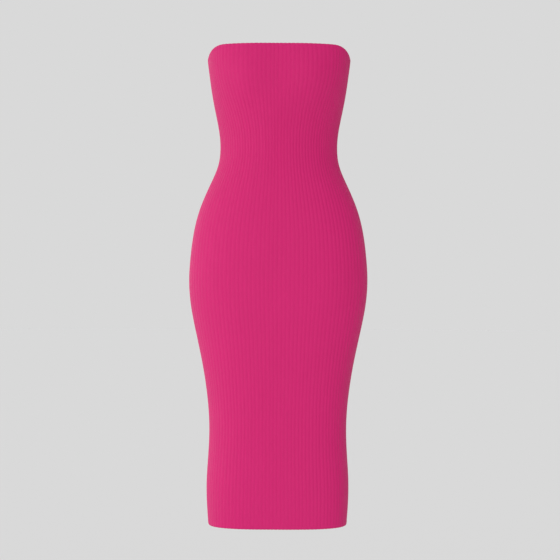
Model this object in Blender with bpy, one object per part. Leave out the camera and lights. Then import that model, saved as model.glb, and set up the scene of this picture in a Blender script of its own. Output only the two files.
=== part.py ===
"""Strapless midi dress in rib knit, standing in its worn shape with nobody in it.

Metres, +Z up, the front of the dress faces -Y and its own right side is at -X.
The origin is the centre of the chest opening, level with the top edge at the
side seams, which is where the wearer's chest holds the dress up.

A maker cuts and sews four pieces: a front panel, a back panel, a narrow folded
edge round the top, and a narrow folded edge round the hem. Each is one closed
cloth wall, and neighbours stand GAP apart at their seams.
"""

import math
from functools import lru_cache

import bpy
import numpy as np

# ---------------------------------------------------------------- driving sizes
WALL = 0.0016              # thickness of the rib knit in the panels
GAP = 0.0003               # clearance between two pieces at a seam
HEM_DROP = 0.9205          # the hem is level, this far below the origin
TOP_FRONT = 0.0206         # the front's top edge stands this far above the origin
TOP_BACK = 0.0040          # and the back's this far
TOP_FALL_FROM = 0.83       # the front's top edge falls to the side seams between
TOP_FALL_TO = 0.22         # these shares of the front's depth
TOP_EDGE_HEIGHT = 0.0080   # folded edge round the chest opening
HEM_EDGE_HEIGHT = 0.0090   # folded edge round the hem
EDGE_PROUD = 0.0004        # a folded edge stands this far out of a panel, on each side
EDGE_ROUND = 0.0008        # its long corners are cut back by this

COLUMNS = 27               # points across a panel, side seam to side seam
ROWS = 36                  # points from a panel's top to its bottom
ARC_STEPS = 1200           # points that a section's own length is measured over

# Sections of the dress as worn on a general figure, from the top down. drop is
# below the origin, half_width is from the middle to the side seam, and the
# depths are from the side seams' plane to the middle of the front and the back.
# A squareness of 2 is an ellipse, and more is a flatter front with fuller sides.
SECTION_COLUMNS = ("name", "drop", "half_width", "front_depth", "back_depth", "front_square", "back_square")
SECTIONS = (
    ("above_top",  -0.0300, 0.1424, 0.1000, 0.0900, 2.90, 2.70),
    ("top_edge",    0.0000, 0.1419, 0.1050, 0.0930, 2.90, 2.70),
    ("bust",        0.0300, 0.1384, 0.1085, 0.0925, 2.85, 2.65),
    ("low_bust",    0.0740, 0.1321, 0.1070, 0.0880, 2.45, 2.50),
    ("ribs",        0.1220, 0.1226, 0.0975, 0.0830, 2.12, 2.30),
    ("over_waist",  0.1540, 0.1174, 0.0915, 0.0795, 2.05, 2.20),
    ("waist",       0.1780, 0.1164, 0.0890, 0.0785, 2.05, 2.20),
    ("under_waist", 0.2060, 0.1197, 0.0885, 0.0800, 2.10, 2.20),
    ("high_hip",    0.2500, 0.1373, 0.0905, 0.0890, 2.20, 2.25),
    ("upper_hip",   0.2980, 0.1572, 0.0935, 0.1030, 2.30, 2.30),
    ("over_seat",   0.3460, 0.1691, 0.0960, 0.1140, 2.40, 2.40),
    ("seat",        0.3940, 0.1753, 0.0970, 0.1190, 2.40, 2.40),
    ("hip",         0.4380, 0.1777, 0.0970, 0.1190, 2.40, 2.40),
    ("under_seat",  0.4900, 0.1736, 0.0965, 0.1130, 2.40, 2.40),
    ("upper_thigh", 0.5380, 0.1643, 0.0955, 0.1065, 2.40, 2.40),
    ("thigh",       0.6020, 0.1507, 0.0940, 0.0990, 2.45, 2.40),
    ("over_knee",   0.6660, 0.1407, 0.0920, 0.0930, 2.50, 2.45),
    ("knee",        0.7280, 0.1363, 0.0905, 0.0895, 2.60, 2.50),
    ("under_knee",  0.7780, 0.1377, 0.0900, 0.0890, 2.70, 2.60),
    ("calf",        0.8420, 0.1411, 0.0905, 0.0900, 2.85, 2.70),
    ("hem",         0.9205, 0.1374, 0.0905, 0.0890, 3.05, 2.75),
)

# Soft fullness that the cloth spans, on top of the sections: where its middle
# is, how far across and down it reaches, and how far it lifts the cloth.
FULLNESS_COLUMNS = ("name", "side", "across", "drop", "reach_across", "reach_down", "lift")
FULLNESS = (
    ("bust_right", "front", -0.066, 0.040, 0.040, 0.042, 0.0055),
    ("bust_left",  "front",  0.066, 0.040, 0.040, 0.042, 0.0055),
    ("seat_right", "back",  -0.080, 0.400, 0.052, 0.075, 0.0050),
    ("seat_left",  "back",   0.080, 0.400, 0.052, 0.075, 0.0050),
)


# ---------------------------------------------------------------- the dress form
def column(name):
    """One column of the table of sections."""
    at = SECTION_COLUMNS.index(name)
    return np.array([row[at] for row in SECTIONS], float)


def spline(x, y):
    """The smooth line (a natural cubic spline) through a column of the table."""
    n, h = len(x), np.diff(x)
    a, r = np.zeros((n, n)), np.zeros(n)
    a[0, 0] = a[-1, -1] = 1.0
    for i in range(1, n - 1):
        a[i, i - 1 : i + 2] = h[i - 1], 2 * (h[i - 1] + h[i]), h[i]
        r[i] = 6 * ((y[i + 1] - y[i]) / h[i] - (y[i] - y[i - 1]) / h[i - 1])
    m = np.linalg.solve(a, r)

    def value(at):
        i = int(np.clip(np.searchsorted(x, at) - 1, 0, n - 2))
        before, after, w = at - x[i], x[i + 1] - at, h[i]
        return float(
            (m[i] * after**3 + m[i + 1] * before**3) / (6 * w)
            + (y[i] / w - m[i] * w / 6) * after
            + (y[i + 1] / w - m[i + 1] * w / 6) * before
        )

    return value


LINE = {name: spline(column("drop"), column(name)) for name in SECTION_COLUMNS[2:]}


@lru_cache(maxsize=None)
def half_section(side, drop):
    """Half of the section at a drop, from the side seam at +X to the one at -X: shares of its length, and X and Y at each."""
    a, b, n = LINE["half_width"](drop), LINE[side + "_depth"](drop), LINE[side + "_square"](drop)
    t = np.linspace(0.0, math.pi, ARC_STEPS + 1)
    x = a * np.sign(np.cos(t)) * np.abs(np.cos(t)) ** (2 / n)
    rise = np.abs(np.sin(t)) ** (2 / n)
    rise[0] = rise[-1] = 0.0
    y = b * rise
    for _, where, across, down, reach_across, reach_down, lift in FULLNESS:
        if where == side:
            y = y + lift * rise * np.exp(-(((x - across) / reach_across) ** 2) - ((drop - down) / reach_down) ** 2)
    along = np.concatenate([[0.0], np.cumsum(np.hypot(np.diff(x), np.diff(y)))])
    return along / along[-1], x, y if side == "back" else -y


def top_height(side, share):
    """Height of the top edge: level over the bust, falling to the side seams, and nearly level round the back."""
    shares, _, y = half_section(side, 0.0)
    depth = abs(float(np.interp(share, shares, y))) / LINE[side + "_depth"](0.0)
    if side == "front":
        way = min(1.0, max(0.0, (depth - TOP_FALL_TO) / (TOP_FALL_FROM - TOP_FALL_TO)))
        return TOP_FRONT * way * way * (3 - 2 * way)
    way = min(1.0, depth)
    return TOP_BACK * way * way * (3 - 2 * way)


def surface(side, share, down):
    """The outer face of the cloth. share runs across the half from +X to -X, and down from 0 at the top edge to 1 at the hem."""
    top = top_height(side, share)
    drop = round(-top + down * (HEM_DROP + top), 7)
    shares, x, y = half_section(side, drop)
    return np.array([np.interp(share, shares, x), np.interp(share, shares, y), -drop])


def outward(side, share, down, step=2e-3):
    """The direction square to the cloth, outwards. At a side seam it has no part along Y, so that both panels' edges face each other."""
    across = surface(side, min(1, share + step), down) - surface(side, max(0, share - step), down)
    up = surface(side, share, max(0, down - step)) - surface(side, share, min(1, down + step))
    n = np.cross(up, across) if side == "front" else np.cross(across, up)
    if share <= 0 or share >= 1:
        n[1] = 0.0
    return n / np.linalg.norm(n)


def level_outward(side, share, down):
    """The same direction, turned level."""
    n = outward(side, share, down) * (1, 1, 0)
    return n / np.linalg.norm(n)


def below_top(side, share, height):
    """The share of the way down at a height below the top edge."""
    return height / (HEM_DROP + top_height(side, share))


# ---------------------------------------------------------------- making solids
def material(name, colour, roughness):
    made = bpy.data.materials.new(name)
    made.use_nodes = True
    shader = made.node_tree.nodes["Principled BSDF"]
    shader.inputs["Base Color"].default_value = (*colour, 1.0)
    shader.inputs["Roughness"].default_value = roughness
    shader.inputs["Metallic"].default_value = 0.0
    made.diffuse_color = (*colour, 1.0)
    return made


def solid(name, points, faces, finish):
    mesh = bpy.data.meshes.new(name)
    mesh.from_pydata([tuple(float(c) for c in p) for p in points], [], faces)
    mesh.materials.append(finish)
    mesh.shade_smooth()
    mesh.set_sharp_from_angle(angle=math.radians(50))
    thing = bpy.data.objects.new(name, mesh)
    bpy.context.scene.collection.objects.link(thing)
    return thing


def panel(side, finish):
    """A panel: an outer and an inner face of the same grid, a WALL apart, joined along its four edges."""
    toward = np.array([0.0, -GAP / 2 if side == "front" else GAP / 2, 0.0])
    outer, inner = [], []
    for j in range(ROWS):
        for i in range(COLUMNS):
            share = i / (COLUMNS - 1)
            first = below_top(side, share, TOP_EDGE_HEIGHT + GAP)
            last = 1 - below_top(side, share, HEM_EDGE_HEIGHT + GAP)
            down = first + (last - first) * j / (ROWS - 1)
            # its top and bottom rows stay level, so that the folded edges clear them
            n = (level_outward if j in (0, ROWS - 1) else outward)(side, share, down)
            p = surface(side, share, down) + toward
            outer.append(p)
            inner.append(p - n * WALL)
    count = ROWS * COLUMNS

    def at(i, j):
        return j * COLUMNS + i

    faces = []
    for j in range(ROWS - 1):
        for i in range(COLUMNS - 1):
            quad = (at(i, j), at(i, j + 1), at(i + 1, j + 1), at(i + 1, j))
            faces += [quad, tuple(count + k for k in reversed(quad))]
    rim = (
        [at(i, 0) for i in range(COLUMNS)]
        + [at(COLUMNS - 1, j) for j in range(1, ROWS)]
        + [at(i, ROWS - 1) for i in range(COLUMNS - 2, -1, -1)]
        + [at(0, j) for j in range(ROWS - 2, 0, -1)]
    )
    for first, second in zip(rim, rim[1:] + rim[:1]):
        faces.append((first, second, count + second, count + first))
    if side == "front":
        faces = [tuple(reversed(face)) for face in faces]
    return solid(side + "_panel", outer + inner, faces, finish)


def folded_edge(name, at_top, finish):
    """A narrow edge folded over the cloth, all round the dress: a ring whose cross-section is a flat bar with its long corners cut."""
    height = TOP_EDGE_HEIGHT if at_top else HEM_EDGE_HEIGHT
    thick, c = WALL + 2 * EDGE_PROUD, EDGE_ROUND
    # (how far in from the outer face, how far down from the ring's own top)
    bar = ((c, 0.0), (thick - c, 0.0), (thick, c), (thick, height - c), (thick - c, height), (c, height), (0.0, height - c), (0.0, c))
    shares = np.linspace(0, 1, COLUMNS)
    stations = [("front", s) for s in shares[:-1]] + [("back", s) for s in shares[:0:-1]]
    points = []
    for side, share in stations:
        for depth, drop in bar:
            down = below_top(side, share, drop) if at_top else 1 - below_top(side, share, height - drop)
            points.append(surface(side, share, down) + level_outward(side, share, down) * (EDGE_PROUD - depth))
    m, total = len(bar), len(stations)
    faces = []
    for r in range(total):
        here, there = r * m, (r + 1) % total * m
        faces += [(here + k, here + (k + 1) % m, there + (k + 1) % m, there + k) for k in range(m)]
    return solid(name, points, faces, finish)


def main():
    for thing in list(bpy.data.objects):
        bpy.data.objects.remove(thing, do_unlink=True)
    knit = material("rib_knit", (0.60, 0.028, 0.165), 0.85)
    edge = material("folded_knit", (0.62, 0.030, 0.175), 0.80)
    panel("front", knit)
    panel("back", knit)
    folded_edge("top_edge", True, edge)
    folded_edge("hem_edge", False, edge)


main()
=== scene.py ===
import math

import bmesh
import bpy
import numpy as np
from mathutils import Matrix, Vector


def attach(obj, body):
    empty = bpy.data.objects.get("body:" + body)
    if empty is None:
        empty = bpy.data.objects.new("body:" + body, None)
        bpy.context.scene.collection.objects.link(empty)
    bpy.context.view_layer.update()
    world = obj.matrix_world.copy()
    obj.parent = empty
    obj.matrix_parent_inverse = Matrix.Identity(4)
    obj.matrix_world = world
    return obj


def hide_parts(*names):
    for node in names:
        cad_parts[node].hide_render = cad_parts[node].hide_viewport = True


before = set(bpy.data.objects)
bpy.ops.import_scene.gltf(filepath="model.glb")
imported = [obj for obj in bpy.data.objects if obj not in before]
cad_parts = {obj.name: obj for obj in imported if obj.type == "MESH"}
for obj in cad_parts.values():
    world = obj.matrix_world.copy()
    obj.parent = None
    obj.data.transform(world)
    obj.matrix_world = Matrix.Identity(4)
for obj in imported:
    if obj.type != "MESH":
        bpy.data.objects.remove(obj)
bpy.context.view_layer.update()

# Strapless midi dress in rib knit, filled out in its worn shape with nobody in it.
# Metres, +Z up, the front faces -Y. The smooth form is the solids' own: the same
# sections, worked out here again, with the ribs, the folded edges and the seams
# modelled on it.

# ---------------------------------------------------------------- the dress form
WALL = 0.0016
HEM_DROP = 0.9205
TOP_FRONT = 0.0206
TOP_BACK = 0.0040
TOP_FALL_FROM = 0.83
TOP_FALL_TO = 0.22
TOP_EDGE_HEIGHT = 0.0080
HEM_EDGE_HEIGHT = 0.0090

SECTION_COLUMNS = ("name", "drop", "half_width", "front_depth", "back_depth", "front_square", "back_square")
SECTIONS = (
    ("above_top",  -0.0300, 0.1424, 0.1000, 0.0900, 2.90, 2.70),
    ("top_edge",    0.0000, 0.1419, 0.1050, 0.0930, 2.90, 2.70),
    ("bust",        0.0300, 0.1384, 0.1085, 0.0925, 2.85, 2.65),
    ("low_bust",    0.0740, 0.1321, 0.1070, 0.0880, 2.45, 2.50),
    ("ribs",        0.1220, 0.1226, 0.0975, 0.0830, 2.12, 2.30),
    ("over_waist",  0.1540, 0.1174, 0.0915, 0.0795, 2.05, 2.20),
    ("waist",       0.1780, 0.1164, 0.0890, 0.0785, 2.05, 2.20),
    ("under_waist", 0.2060, 0.1197, 0.0885, 0.0800, 2.10, 2.20),
    ("high_hip",    0.2500, 0.1373, 0.0905, 0.0890, 2.20, 2.25),
    ("upper_hip",   0.2980, 0.1572, 0.0935, 0.1030, 2.30, 2.30),
    ("over_seat",   0.3460, 0.1691, 0.0960, 0.1140, 2.40, 2.40),
    ("seat",        0.3940, 0.1753, 0.0970, 0.1190, 2.40, 2.40),
    ("hip",         0.4380, 0.1777, 0.0970, 0.1190, 2.40, 2.40),
    ("under_seat",  0.4900, 0.1736, 0.0965, 0.1130, 2.40, 2.40),
    ("upper_thigh", 0.5380, 0.1643, 0.0955, 0.1065, 2.40, 2.40),
    ("thigh",       0.6020, 0.1507, 0.0940, 0.0990, 2.45, 2.40),
    ("over_knee",   0.6660, 0.1407, 0.0920, 0.0930, 2.50, 2.45),
    ("knee",        0.7280, 0.1363, 0.0905, 0.0895, 2.60, 2.50),
    ("under_knee",  0.7780, 0.1377, 0.0900, 0.0890, 2.70, 2.60),
    ("calf",        0.8420, 0.1411, 0.0905, 0.0900, 2.85, 2.70),
    ("hem",         0.9205, 0.1374, 0.0905, 0.0890, 3.05, 2.75),
)
FULLNESS_COLUMNS = ("name", "side", "across", "drop", "reach_across", "reach_down", "lift")
FULLNESS = (
    ("bust_right", "front", -0.066, 0.040, 0.040, 0.042, 0.0055),
    ("bust_left",  "front",  0.066, 0.040, 0.040, 0.042, 0.0055),
    ("seat_right", "back",  -0.080, 0.400, 0.052, 0.075, 0.0050),
    ("seat_left",  "back",   0.080, 0.400, 0.052, 0.075, 0.0050),
)

# ---------------------------------------------------------------- the knit
RIBS = 54                # ribs across a panel
COLUMNS_PER_RIB = 8
PANEL_ROWS = 112
RIB_DEPTH = 0.00075      # from a rib's crown to the valley beside it, where the knit is least stretched
RIB_SHARPNESS = 4.0      # a higher number gives a narrower valley
SLACK_PITCH = 0.0060     # the rib pitch there, at the waist
BUST_SPREAD = 0.026      # how far round the front the ribs are drawn aside at the bust, as a share of it
SEAM_DIP = 0.0006        # how much deeper than a valley the side seam lies
SEED = 11


def column(name):
    at = SECTION_COLUMNS.index(name)
    return np.array([row[at] for row in SECTIONS], float)


def spline(x, y):
    """The smooth line (a natural cubic spline) through a column of the table."""
    n, h = len(x), np.diff(x)
    a, r = np.zeros((n, n)), np.zeros(n)
    a[0, 0] = a[-1, -1] = 1.0
    for i in range(1, n - 1):
        a[i, i - 1 : i + 2] = h[i - 1], 2 * (h[i - 1] + h[i]), h[i]
        r[i] = 6 * ((y[i + 1] - y[i]) / h[i] - (y[i] - y[i - 1]) / h[i - 1])
    m = np.linalg.solve(a, r)

    def value(at):
        i = int(np.clip(np.searchsorted(x, at) - 1, 0, n - 2))
        before, after, w = at - x[i], x[i + 1] - at, h[i]
        return float(
            (m[i] * after**3 + m[i + 1] * before**3) / (6 * w)
            + (y[i] / w - m[i] * w / 6) * after
            + (y[i + 1] / w - m[i + 1] * w / 6) * before
        )

    return value


LINE = {name: spline(column("drop"), column(name)) for name in SECTION_COLUMNS[2:]}


def half_section(side, drop, steps=1600):
    """Half of the section at a drop: shares of its length, X and Y at each, and the length."""
    a, b, n = LINE["half_width"](drop), LINE[side + "_depth"](drop), LINE[side + "_square"](drop)
    t = np.linspace(0.0, math.pi, steps + 1)
    x = a * np.sign(np.cos(t)) * np.abs(np.cos(t)) ** (2 / n)
    rise = np.abs(np.sin(t)) ** (2 / n)
    rise[0] = rise[-1] = 0.0
    y = b * rise
    for _, where, across, down, reach_across, reach_down, lift in FULLNESS:
        if where == side:
            y = y + lift * rise * np.exp(-(((x - across) / reach_across) ** 2) - ((drop - down) / reach_down) ** 2)
    along = np.concatenate([[0.0], np.cumsum(np.hypot(np.diff(x), np.diff(y)))])
    return along / along[-1], x, (y if side == "back" else -y), along[-1]


def smoothstep(t):
    t = np.clip(t, 0, 1)
    return t * t * (3 - 2 * t)


def top_heights(side, shares):
    """Height of the top edge at each share across the half."""
    at, _, y, _ = half_section(side, 0.0)
    depth = np.abs(np.interp(shares, at, y)) / LINE[side + "_depth"](0.0)
    if side == "front":
        return TOP_FRONT * smoothstep((depth - TOP_FALL_TO) / (TOP_FALL_FROM - TOP_FALL_TO))
    return TOP_BACK * smoothstep(depth)


def drawn_aside(side, shares, drop):
    """Where each rib runs at a drop: at the bust the knit is drawn out to the sides, and from the waist down it runs straight."""
    if side == "back":
        return shares
    return shares - BUST_SPREAD * np.sin(2 * math.pi * shares) ** 3 * (1 - smoothstep((drop - 0.020) / 0.130))


class Half:
    """The smooth outer face of the front or the back half, at fixed shares across it."""

    STEP = 0.002

    def __init__(self, side, shares):
        self.side, self.shares = side, np.asarray(shares, float)
        self.drops = np.arange(-0.030, 0.931, self.STEP)
        tables = [half_section(side, d) for d in self.drops]
        runs = [drawn_aside(side, self.shares, d) for d in self.drops]
        self.x = np.array([np.interp(run, at, x) for run, (at, x, _, _) in zip(runs, tables)])
        self.y = np.array([np.interp(run, at, y) for run, (at, _, y, _) in zip(runs, tables)])
        self.length = np.array([whole for *_, whole in tables])
        self.top = top_heights(side, drawn_aside(side, self.shares, 0.0))
        grid = np.stack([self.x, self.y, np.repeat(-self.drops[:, None], len(self.shares), 1)], -1)
        across = np.gradient(grid, self.shares, axis=1)
        down = np.gradient(grid, self.drops, axis=0)
        normal = np.cross(across, down) if side == "front" else np.cross(down, across)
        normal[:, (0, -1), 1] = 0.0
        self.normal = normal / np.linalg.norm(normal, axis=-1, keepdims=True)
        self.across = across / np.linalg.norm(across, axis=-1, keepdims=True)

    def _at(self, table, drop):
        k = (drop - self.drops[0]) / self.STEP
        low = np.clip(np.floor(k).astype(int), 0, len(self.drops) - 2)
        part = k - low
        i = np.arange(drop.shape[1])[None, :].repeat(drop.shape[0], 0)
        if table.ndim == 3:
            part = part[..., None]
        return table[low, i] * (1 - part) + table[low + 1, i] * part

    def points(self, drop, out, aside=0.0):
        """Points at a drop for each row and column, moved out along the face's own direction and aside along the face."""
        base = np.stack([self._at(self.x, drop), self._at(self.y, drop), -drop], -1)
        normal, across = self._at(self.normal, drop), self._at(self.across, drop)
        return base + normal * np.asarray(out)[..., None] + across * (np.zeros_like(drop) + aside)[..., None]

    def pitch(self, drop):
        """The rib pitch at a drop."""
        return np.interp(drop, self.drops, self.length) / RIBS


# where each rib starts and how proud it stands, a little uneven as knit is
rng = np.random.default_rng(SEED)
VALLEYS, PROUD = {}, {}
for side in ("front", "back"):
    shift = rng.uniform(-0.06, 0.06, RIBS + 1)
    shift[[0, -1]] = 0.0
    VALLEYS[side] = (np.arange(RIBS + 1) + shift) / RIBS
    PROUD[side] = 1 + rng.uniform(-0.12, 0.12, RIBS)

PLACES = np.arange(RIBS * COLUMNS_PER_RIB + 1) / COLUMNS_PER_RIB  # rib number and place in it, for each column
HALF = {side: Half(side, np.interp(PLACES, np.arange(RIBS + 1), VALLEYS[side])) for side in ("front", "back")}


def rib(place):
    """Height of a rib's face between a valley, 0, and a crown, 1."""
    return 1 - np.abs(np.cos(math.pi * place)) ** RIB_SHARPNESS


def rib_depth(side, drop):
    """How deep the valleys are: less where the knit is stretched, and a little different from rib to rib and down the length."""
    stretch = HALF[side].pitch(drop) / SLACK_PITCH
    number = np.clip(np.floor(PLACES).astype(int), 0, RIBS - 1)
    slow = 1 + 0.08 * np.sin(drop * 23 + number[None, :] * 2.4)
    return RIB_DEPTH * stretch ** -1.3 * PROUD[side][number][None, :] * slow


def unevenness(side, drop):
    """A fraction of a millimetre of slow unevenness in the face of the cloth."""
    s = HALF[side].shares[None, :] * (2 * math.pi)
    turn = 0.0 if side == "front" else 1.7
    edge = np.sin(s / 2)
    return 0.00022 * edge * (
        np.sin(3.1 * s + 17 * drop + turn) * np.sin(11 * drop + 0.6 + turn)
        + 0.6 * np.sin(5.3 * s - 29 * drop + 2 * turn)
        + 0.4 * np.sin(2.2 * s + 53 * drop + turn)
    )


def sway(side, drop):
    """How far a rib wanders aside from its straight line."""
    s = HALF[side].shares[None, :]
    return 0.0004 * np.sin(math.pi * s) * (np.sin(21 * drop + 9 * s) + 0.5 * np.sin(47 * drop - 14 * s))


# ---------------------------------------------------------------- meshes
def mesh_object(name, points, quads, uv, finish, crease):
    """A smooth mesh from points, quads, a UV pair for each corner of each quad, and the number of the crease that each point lies on, or 0."""
    mesh = bpy.data.meshes.new(name)
    points, quads = np.asarray(points, float), np.asarray(quads, int)
    mesh.vertices.add(len(points))
    mesh.vertices.foreach_set("co", points.ravel())
    mesh.loops.add(quads.size)
    mesh.loops.foreach_set("vertex_index", quads.ravel())
    mesh.polygons.add(len(quads))
    mesh.polygons.foreach_set("loop_start", np.arange(0, quads.size, 4))
    mesh.update(calc_edges=True)
    layer = mesh.uv_layers.new(name="Knit")
    layer.data.foreach_set("uv", np.asarray(uv, float).ravel())
    mesh.materials.append(finish)
    mesh.shade_smooth()
    ends = np.empty(len(mesh.edges) * 2, np.int32)
    mesh.edges.foreach_get("vertices", ends)
    line = np.asarray(crease, int)[ends.reshape(-1, 2)]
    sharp = (line[:, 0] == line[:, 1]) & (line[:, 0] > 0)
    mesh.attributes.new("sharp_edge", "BOOLEAN", "EDGE").data.foreach_set("value", sharp)
    mesh.validate()
    thing = bpy.data.objects.new(name, mesh)
    bpy.context.scene.collection.objects.link(thing)
    return thing


def grid_quads(rows, cols, start=0):
    j, i = np.meshgrid(np.arange(rows - 1), np.arange(cols - 1), indexing="ij")
    a = start + j * cols + i
    return np.stack([a, a + cols, a + cols + 1, a + 1], -1).reshape(-1, 4)


def panel(side, finish):
    """The front or the back: ribs outside, the same ribs' backs inside, and a wall between."""
    half = HALF[side]
    cols = len(PLACES)
    tuck = 0.0006  # how far its ends reach under the folded edges
    first = -half.top + TOP_EDGE_HEIGHT - tuck
    last = np.full(cols, HEM_DROP - HEM_EDGE_HEIGHT + tuck)
    way = np.linspace(0, 1, PANEL_ROWS)
    ease = 0.985 * way + 0.015 * smoothstep(way)
    drop = first[None, :] + (last - first)[None, :] * ease[:, None]
    depth = rib_depth(side, drop)
    # the ribs are pressed flatter where they run under a folded edge
    near_top = np.exp(-(((drop - first[None, :]) / 0.0035) ** 2))
    near_hem = np.exp(-(((last[None, :] - drop) / 0.0035) ** 2))
    press = 1 - 0.05 * np.maximum(near_top, near_hem)
    seam = np.exp(-((np.minimum(PLACES, RIBS - PLACES) / 0.16) ** 2))[None, :]
    face = rib(PLACES)[None, :]
    level = unevenness(side, drop)
    outer = level - depth * press * (1 - face) - SEAM_DIP * seam - 0.00006 * np.maximum(near_top, near_hem)
    inner = level - WALL - 0.55 * depth * press * (rib(PLACES + 0.5)[None, :] - 0.5)
    inner = np.minimum(inner, outer - 0.0006)
    aside = sway(side, drop)
    points = np.concatenate([half.points(drop, outer, aside).reshape(-1, 3), half.points(drop, inner, aside).reshape(-1, 3)])
    count = PANEL_ROWS * cols
    outside = grid_quads(PANEL_ROWS, cols)
    inside = grid_quads(PANEL_ROWS, cols, count)[:, ::-1]
    rim = np.concatenate([
        np.arange(cols),
        np.arange(2, PANEL_ROWS + 1) * cols - 1,
        (PANEL_ROWS - 1) * cols + np.arange(cols - 2, -1, -1),
        np.arange(PANEL_ROWS - 2, 0, -1) * cols,
    ])
    after = np.roll(rim, -1)
    edge = np.stack([rim, after, after + count, rim + count], -1)
    quads = np.concatenate([outside, inside, edge])
    if side == "front":
        quads = quads[:, ::-1]
    u = np.tile(PLACES[None, :], (PANEL_ROWS, 1)) + (0 if side == "front" else 100)
    uv = np.stack([u.ravel(), (drop + 0.1).ravel()], -1)
    uv = np.concatenate([uv, uv + (0.5, 0)])
    crease = np.zeros(2 * count, int)
    crease[rim], crease[rim + count] = 1, 2
    return mesh_object(side + "_knit", points, quads, uv[quads], finish, crease)


# (how far out of the panel's face, how far from the edge's own fold, how much of the ribs' relief shows)
FOLD_COLUMNS = ("out", "from_fold", "relief")
FOLD = (
    (-0.00110, 1.000, 0.95),
    (-0.00050, 1.000, 0.95),
    (-0.00015, 0.990, 0.95),
    (-0.00003, 0.968, 0.95),
    (0.00004, 0.920, 0.95),
    (0.00008, 0.800, 0.95),
    (0.00009, 0.620, 0.95),
    (0.00008, 0.400, 0.90),
    (0.00000, 0.200, 0.80),
    (-0.00032, 0.060, 0.60),
    (-0.00085, 0.000, 0.40),
    (-0.00130, 0.040, 0.25),
    (-0.00170, 0.130, 0.20),
    (-0.00190, 0.300, 0.25),
    (-0.00195, 0.550, 0.30),
    (-0.00195, 0.800, 0.30),
    (-0.00185, 0.960, 0.30),
    (-0.00160, 1.000, 0.30),
)
FOLD_SEAM_ROWS = 12      # the rows of the table that lie outside and over the fold


def folded_edge(name, at_top, finish):
    """The knit folded over at the top or the hem: one ring, with the ribs running up over the fold."""
    height = TOP_EDGE_HEIGHT if at_top else HEM_EDGE_HEIGHT
    out, share, relief = (np.array([row[k] for row in FOLD])[:, None] for k in range(3))
    rings, us, vs = [], [], []
    for side, turn in (("front", 1), ("back", -1)):
        half = HALF[side]
        from_fold = share * height + np.zeros((1, len(PLACES)))
        drop = -half.top[None, :] + from_fold if at_top else HEM_DROP - from_fold
        depth = rib_depth(side, drop) * relief
        hollow = (1 - rib(PLACES))[None, :]
        seam = np.exp(-((np.minimum(PLACES, RIBS - PLACES) / 0.16) ** 2))[None, :]
        inner = np.clip((-out - 0.0010) / 0.0006, 0, 1)
        level = unevenness(side, drop) + out
        move = level - (depth * hollow + SEAM_DIP * seam) * (1 - inner) + 0.3 * depth * hollow * inner
        # the fold itself dips a little at each valley
        dip = 0.00022 * hollow * np.exp(-((share / 0.12) ** 2))
        drop = drop + dip if at_top else drop - dip
        p = half.points(drop, move, sway(side, drop))
        p = p[:, :-1] if turn == 1 else p[:, :0:-1]
        u = np.tile((PLACES + (0 if side == "front" else 100))[None, :], (len(FOLD), 1))
        around = np.cumsum(np.concatenate([[0.0], np.hypot(np.diff(out[:, 0]), np.diff(share[:, 0] * height))]))
        v = np.tile(around[:, None], (1, len(PLACES))) + (1.2 if at_top else 2.2)
        rings.append(p)
        us.append(u[:, :-1] if turn == 1 else u[:, :0:-1])
        vs.append(v[:, :-1] if turn == 1 else v[:, :0:-1])
    points, u, v = np.concatenate(rings, 1), np.concatenate(us, 1), np.concatenate(vs, 1)
    m, total = points.shape[:2]
    k, r = np.meshgrid(np.arange(m), np.arange(total), indexing="ij")
    after_k, after_r = (k + 1) % m, (r + 1) % total
    quads = np.stack([k * total + r, k * total + after_r, after_k * total + after_r, after_k * total + r], -1).reshape(-1, 4)
    if not at_top:
        quads = quads[:, ::-1]
    uv = np.stack([u.ravel(), v.ravel()], -1)
    corner = uv[quads]
    # the seam where the two halves meet, and the ring's own closing line
    width = np.abs(corner[:, :, 0] - corner[:, :1, 0]).max(1) > 4
    corner[width, :, 0] = corner[width, :1, 0]
    height_jump = np.abs(corner[:, :, 1] - corner[:, :1, 1]).max(1) > 0.005
    corner[height_jump, :, 1] = corner[height_jump, :1, 1]
    # the side seams run on over the fold
    crease = np.zeros((m, total), int)
    crease[: FOLD_SEAM_ROWS, 0], crease[: FOLD_SEAM_ROWS, len(PLACES) - 1] = 1, 2
    return mesh_object(name, points.reshape(-1, 3), quads, corner, finish, crease.ravel())


# ---------------------------------------------------------------- materials
def nodes_of(name):
    made = bpy.data.materials.new(name)
    made.use_nodes = True
    tree = made.node_tree
    return made, tree, tree.nodes["Principled BSDF"]


def math_node(tree, operation, *values):
    node = tree.nodes.new("ShaderNodeMath")
    node.operation = operation
    for socket, value in zip(node.inputs, values):
        if hasattr(value, "is_output"):
            tree.links.new(value, socket)
        else:
            socket.default_value = value
    return node.outputs[0]


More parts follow.
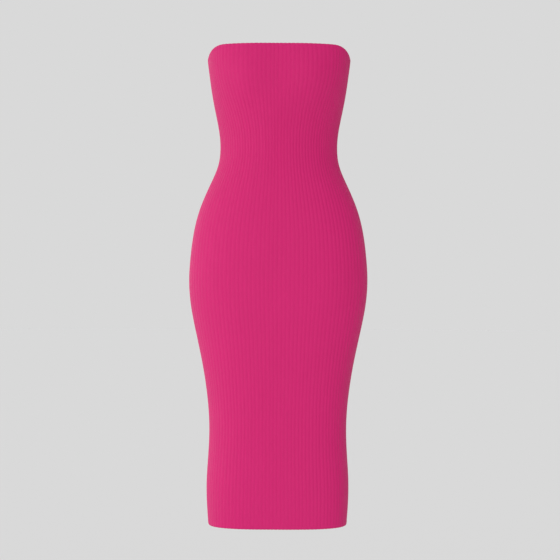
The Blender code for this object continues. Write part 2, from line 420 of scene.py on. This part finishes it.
def knit_material(name, base, wales, courses, sheen):
    """Rib knit: columns of small V-shaped loops on each rib, a little uneven in colour, with a soft fuzzy sheen."""
    made, tree, shader = nodes_of(name)
    link = tree.links.new
    uv = tree.nodes.new("ShaderNodeUVMap")
    uv.uv_map = "Knit"
    split = tree.nodes.new("ShaderNodeSeparateXYZ")
    link(uv.outputs[0], split.inputs[0])
    u, v = split.outputs[0], split.outputs[1]

    # loops: each wale is a column of V shapes
    wale = math_node(tree, "MULTIPLY", u, float(wales))
    in_wale = math_node(tree, "SUBTRACT", math_node(tree, "FRACT", wale), 0.5)
    aside = math_node(tree, "ABSOLUTE", in_wale)
    course = math_node(tree, "MULTIPLY", v, 1.0 / courses)
    leaning = math_node(tree, "ADD", course, math_node(tree, "MULTIPLY", aside, 1.3))
    loop = math_node(tree, "SINE", math_node(tree, "MULTIPLY", leaning, 2 * math.pi))
    loop = math_node(tree, "MULTIPLY_ADD", loop, 0.5, 0.5)
    crown = math_node(tree, "SUBTRACT", 1.0, math_node(tree, "POWER", math_node(tree, "MULTIPLY", aside, 2.0), 2.0))
    stitch = math_node(tree, "MULTIPLY", loop, crown)

    # yarn fuzz, finer than a loop
    place = tree.nodes.new("ShaderNodeTexCoord")
    fuzz = tree.nodes.new("ShaderNodeTexNoise")
    fuzz.inputs["Scale"].default_value = 1400.0
    fuzz.inputs["Detail"].default_value = 2.0
    link(place.outputs["Object"], fuzz.inputs["Vector"])
    relief = math_node(tree, "ADD", stitch, math_node(tree, "MULTIPLY", fuzz.outputs[0], 0.5))
    bump = tree.nodes.new("ShaderNodeBump")
    bump.inputs["Strength"].default_value = 0.80
    bump.inputs["Distance"].default_value = 0.00028
    link(relief, bump.inputs["Height"])
    link(bump.outputs[0], shader.inputs["Normal"])

    # colour: deeper between loops as painted shade, a little lighter in the valleys between ribs as painted light that
    # offsets their shade, with slow uneven dye
    in_rib = math_node(tree, "FRACT", u)
    valley = math_node(tree, "POWER", math_node(tree, "ABSOLUTE", math_node(tree, "COSINE", math_node(tree, "MULTIPLY", in_rib, math.pi))), 4.0)
    slow = tree.nodes.new("ShaderNodeTexNoise")
    slow.inputs["Scale"].default_value = 9.0
    slow.inputs["Detail"].default_value = 3.0
    link(place.outputs["Object"], slow.inputs["Vector"])
    speck = tree.nodes.new("ShaderNodeTexNoise")
    speck.inputs["Scale"].default_value = 520.0
    speck.inputs["Detail"].default_value = 1.0
    link(place.outputs["Object"], speck.inputs["Vector"])
    # painted shade: the colour is darker between the loops and lighter on them, on top of their bump
    shade = math_node(tree, "MULTIPLY_ADD", stitch, 0.20, 0.71)
    # painted light: the rib valleys are made a little lighter, offsetting the shade that falls in them
    shade = math_node(tree, "MULTIPLY_ADD", valley, 0.05, shade)
    shade = math_node(tree, "ADD", shade, math_node(tree, "MULTIPLY_ADD", slow.outputs[0], 0.14, -0.07))
    shade = math_node(tree, "ADD", shade, math_node(tree, "MULTIPLY_ADD", speck.outputs[0], 0.20, -0.10))
    ramp = tree.nodes.new("ShaderNodeValToRGB")
    ramp.color_ramp.elements[0].position = 0.0
    ramp.color_ramp.elements[0].color = (base[0] * 0.62, base[1] * 0.42, base[2] * 0.50, 1)
    ramp.color_ramp.elements[1].position = 1.0
    ramp.color_ramp.elements[1].color = (*base, 1)
    link(shade, ramp.inputs[0])
    link(ramp.outputs[0], shader.inputs["Base Color"])

    shader.inputs["Roughness"].default_value = 0.62
    shader.inputs["IOR"].default_value = 1.45
    shader.inputs["Specular IOR Level"].default_value = 0.42
    shader.inputs["Sheen Weight"].default_value = sheen
    shader.inputs["Sheen Roughness"].default_value = 0.38
    shader.inputs["Sheen Tint"].default_value = (1.0, 0.80, 0.92, 1.0)
    return made


knit = knit_material("rib_knit", (0.650, 0.0036, 0.158), 4, 0.00135, 0.04)
edge_knit = knit_material("folded_knit", (0.650, 0.0036, 0.158), 4, 0.00120, 0.04)

# ---------------------------------------------------------------- the pieces
front = panel("front", knit)
back = panel("back", knit)
top_edge = folded_edge("top_folded_edge", True, edge_knit)
hem_edge = folded_edge("hem_folded_edge", False, edge_knit)

for piece, node, name in (
    (front, "front_panel", "rib_knit"),
    (back, "back_panel", "rib_knit"),
    (top_edge, "top_edge", "folded_knit"),
    (hem_edge, "hem_edge", "folded_knit"),
):
    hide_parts(node)
    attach(piece, "root")

# ---------------------------------------------------------------- floor, light, camera
PALE = 0.694             # the plain pale grey all round
FLOOR = -1.30            # below the hem, as the floor is when the dress is worn
ROOM = 24.0              # how far off the floor and the backdrop end
FLOOR_SHARE = 0.45       # how much of the floor's paleness comes from the light on it
AMBIENT = 0.890          # the studio's even light
CAMERA_AWAY = 3.0
CAMERA_ASIDE = 0.0034
CAMERA_LEVEL = -0.437
CAMERA_TURN = -0.22      # degrees
FOCAL = 1503.75          # pixels, on a photograph 560 wide

# light from all round, darker from the dress's left, brighter from behind its right side
GLOW_COLUMNS = ("from", "strength")
GLOWS = (
    ((1.0, 0.0, 0.0), -0.520),
    ((0.5000, 0.8660, 0.0), -0.180),
    ((-0.7071, 0.7071, 0.0), 0.480),
    ((0.0, -1.0, 0.0), 0.130),
)
LIGHT_COLUMNS = ("name", "place", "aim", "size", "power")
LIGHTS = (
    ("key",       (-1.25, -2.92, -0.10), (0.0, 0.0, -0.46), (0.5, 0.7), 16.0),
    ("side_low",  (-2.60,  0.10, -0.80), (0.0, 0.0, -0.60), (0.9, 1.2), 16.5),
    ("front_low", (-0.30, -3.60, -1.00), (0.0, 0.0, -0.70), (2.0, 1.2), 8.0),
    ("right_low", (1.30, -2.00, -1.20), (0.06, 0.0, -0.85), (0.9, 0.5), 10.0),
)

world = bpy.data.worlds.new("studio")
world.use_nodes = True
tree = world.node_tree
way = tree.nodes.new("ShaderNodeTexCoord").outputs["Generated"]
even = tree.nodes.new("ShaderNodeValue")
even.outputs[0].default_value = AMBIENT
total = even.outputs[0]
for toward, strength in GLOWS:
    dot = tree.nodes.new("ShaderNodeVectorMath")
    dot.operation = "DOT_PRODUCT"
    tree.links.new(way, dot.inputs[0])
    dot.inputs[1].default_value = toward
    lobe = math_node(tree, "MAXIMUM", dot.outputs["Value"], 0.0)
    total = math_node(tree, "MULTIPLY_ADD", lobe, strength, total)
tree.nodes["Background"].inputs[0].default_value = (1, 1, 1, 1)
tree.links.new(total, tree.nodes["Background"].inputs[1])
bpy.context.scene.world = world


def staged(name, mesh, diffuse, glow):
    """A plain pale piece of the studio."""
    made, tree, shader = nodes_of(name)
    shader.inputs["Base Color"].default_value = (diffuse, diffuse, diffuse, 1)
    shader.inputs["Roughness"].default_value = 1.0
    shader.inputs["Specular IOR Level"].default_value = 0.0
    shader.inputs["Emission Color"].default_value = (1, 1, 1, 1)
    shader.inputs["Emission Strength"].default_value = glow
    mesh.materials.append(made)
    thing = bpy.data.objects.new(name, mesh)
    bpy.context.scene.collection.objects.link(thing)
    return thing


floor_mesh = bpy.data.meshes.new("floor")
turns = np.linspace(0, 2 * math.pi, 96, endpoint=False)
floor_mesh.from_pydata([(ROOM * math.cos(t), ROOM * math.sin(t), FLOOR) for t in turns], [], [tuple(range(96))])
# what reaches a level floor: the even light, and a level lobe's share of 2 / (3 pi)
on_floor = AMBIENT + sum(strength for _, strength in GLOWS) * 2 / (3 * math.pi)
floor = staged("floor", floor_mesh, FLOOR_SHARE, PALE - FLOOR_SHARE * on_floor)

# the backdrop all round is for the eye only: the even light and the soft lights do the lighting
ball = bmesh.new()
bmesh.ops.create_uvsphere(ball, u_segments=96, v_segments=48, radius=ROOM - 0.5)
backdrop_mesh = bpy.data.meshes.new("backdrop")
ball.to_mesh(backdrop_mesh)
ball.free()
backdrop = staged("backdrop", backdrop_mesh, 0.0, PALE)
for way in ("diffuse", "glossy", "transmission", "volume_scatter", "shadow"):
    setattr(backdrop, "visible_" + way, False)

lit = bpy.data.collections.new("lit_by_the_soft_lights")
bpy.context.scene.collection.children.link(lit)
for piece in (front, back, top_edge, hem_edge):
    lit.objects.link(piece)
for name, place, aim, size, power in LIGHTS:
    data = bpy.data.lights.new(name, "AREA")
    data.shape, data.size, data.size_y = "RECTANGLE", *size
    data.energy = power
    lamp = bpy.data.objects.new(name, data)
    lamp.location = place
    lamp.rotation_mode = "QUATERNION"
    lamp.rotation_quaternion = (Vector(aim) - Vector(place)).to_track_quat("-Z", "Y")
    lamp.visible_camera = False
    lamp.light_linking.receiver_collection = lit
    bpy.context.scene.collection.objects.link(lamp)

camera = bpy.data.cameras.new("camera")
camera.sensor_width, camera.lens = 36.0, 36.0 * FOCAL / 560
camera.clip_start, camera.clip_end = 0.1, 200
eye = bpy.data.objects.new("camera", camera)
eye.location = (CAMERA_ASIDE, -CAMERA_AWAY, CAMERA_LEVEL)
eye.rotation_euler = (math.radians(90), math.radians(CAMERA_TURN), 0)
bpy.context.scene.collection.objects.link(eye)
bpy.context.scene.camera = eye

view = bpy.context.scene.view_settings
view.view_transform, view.look, view.exposure, view.gamma = "Standard", "None", 0.0, 1.0

bpy.context.view_layer.update()
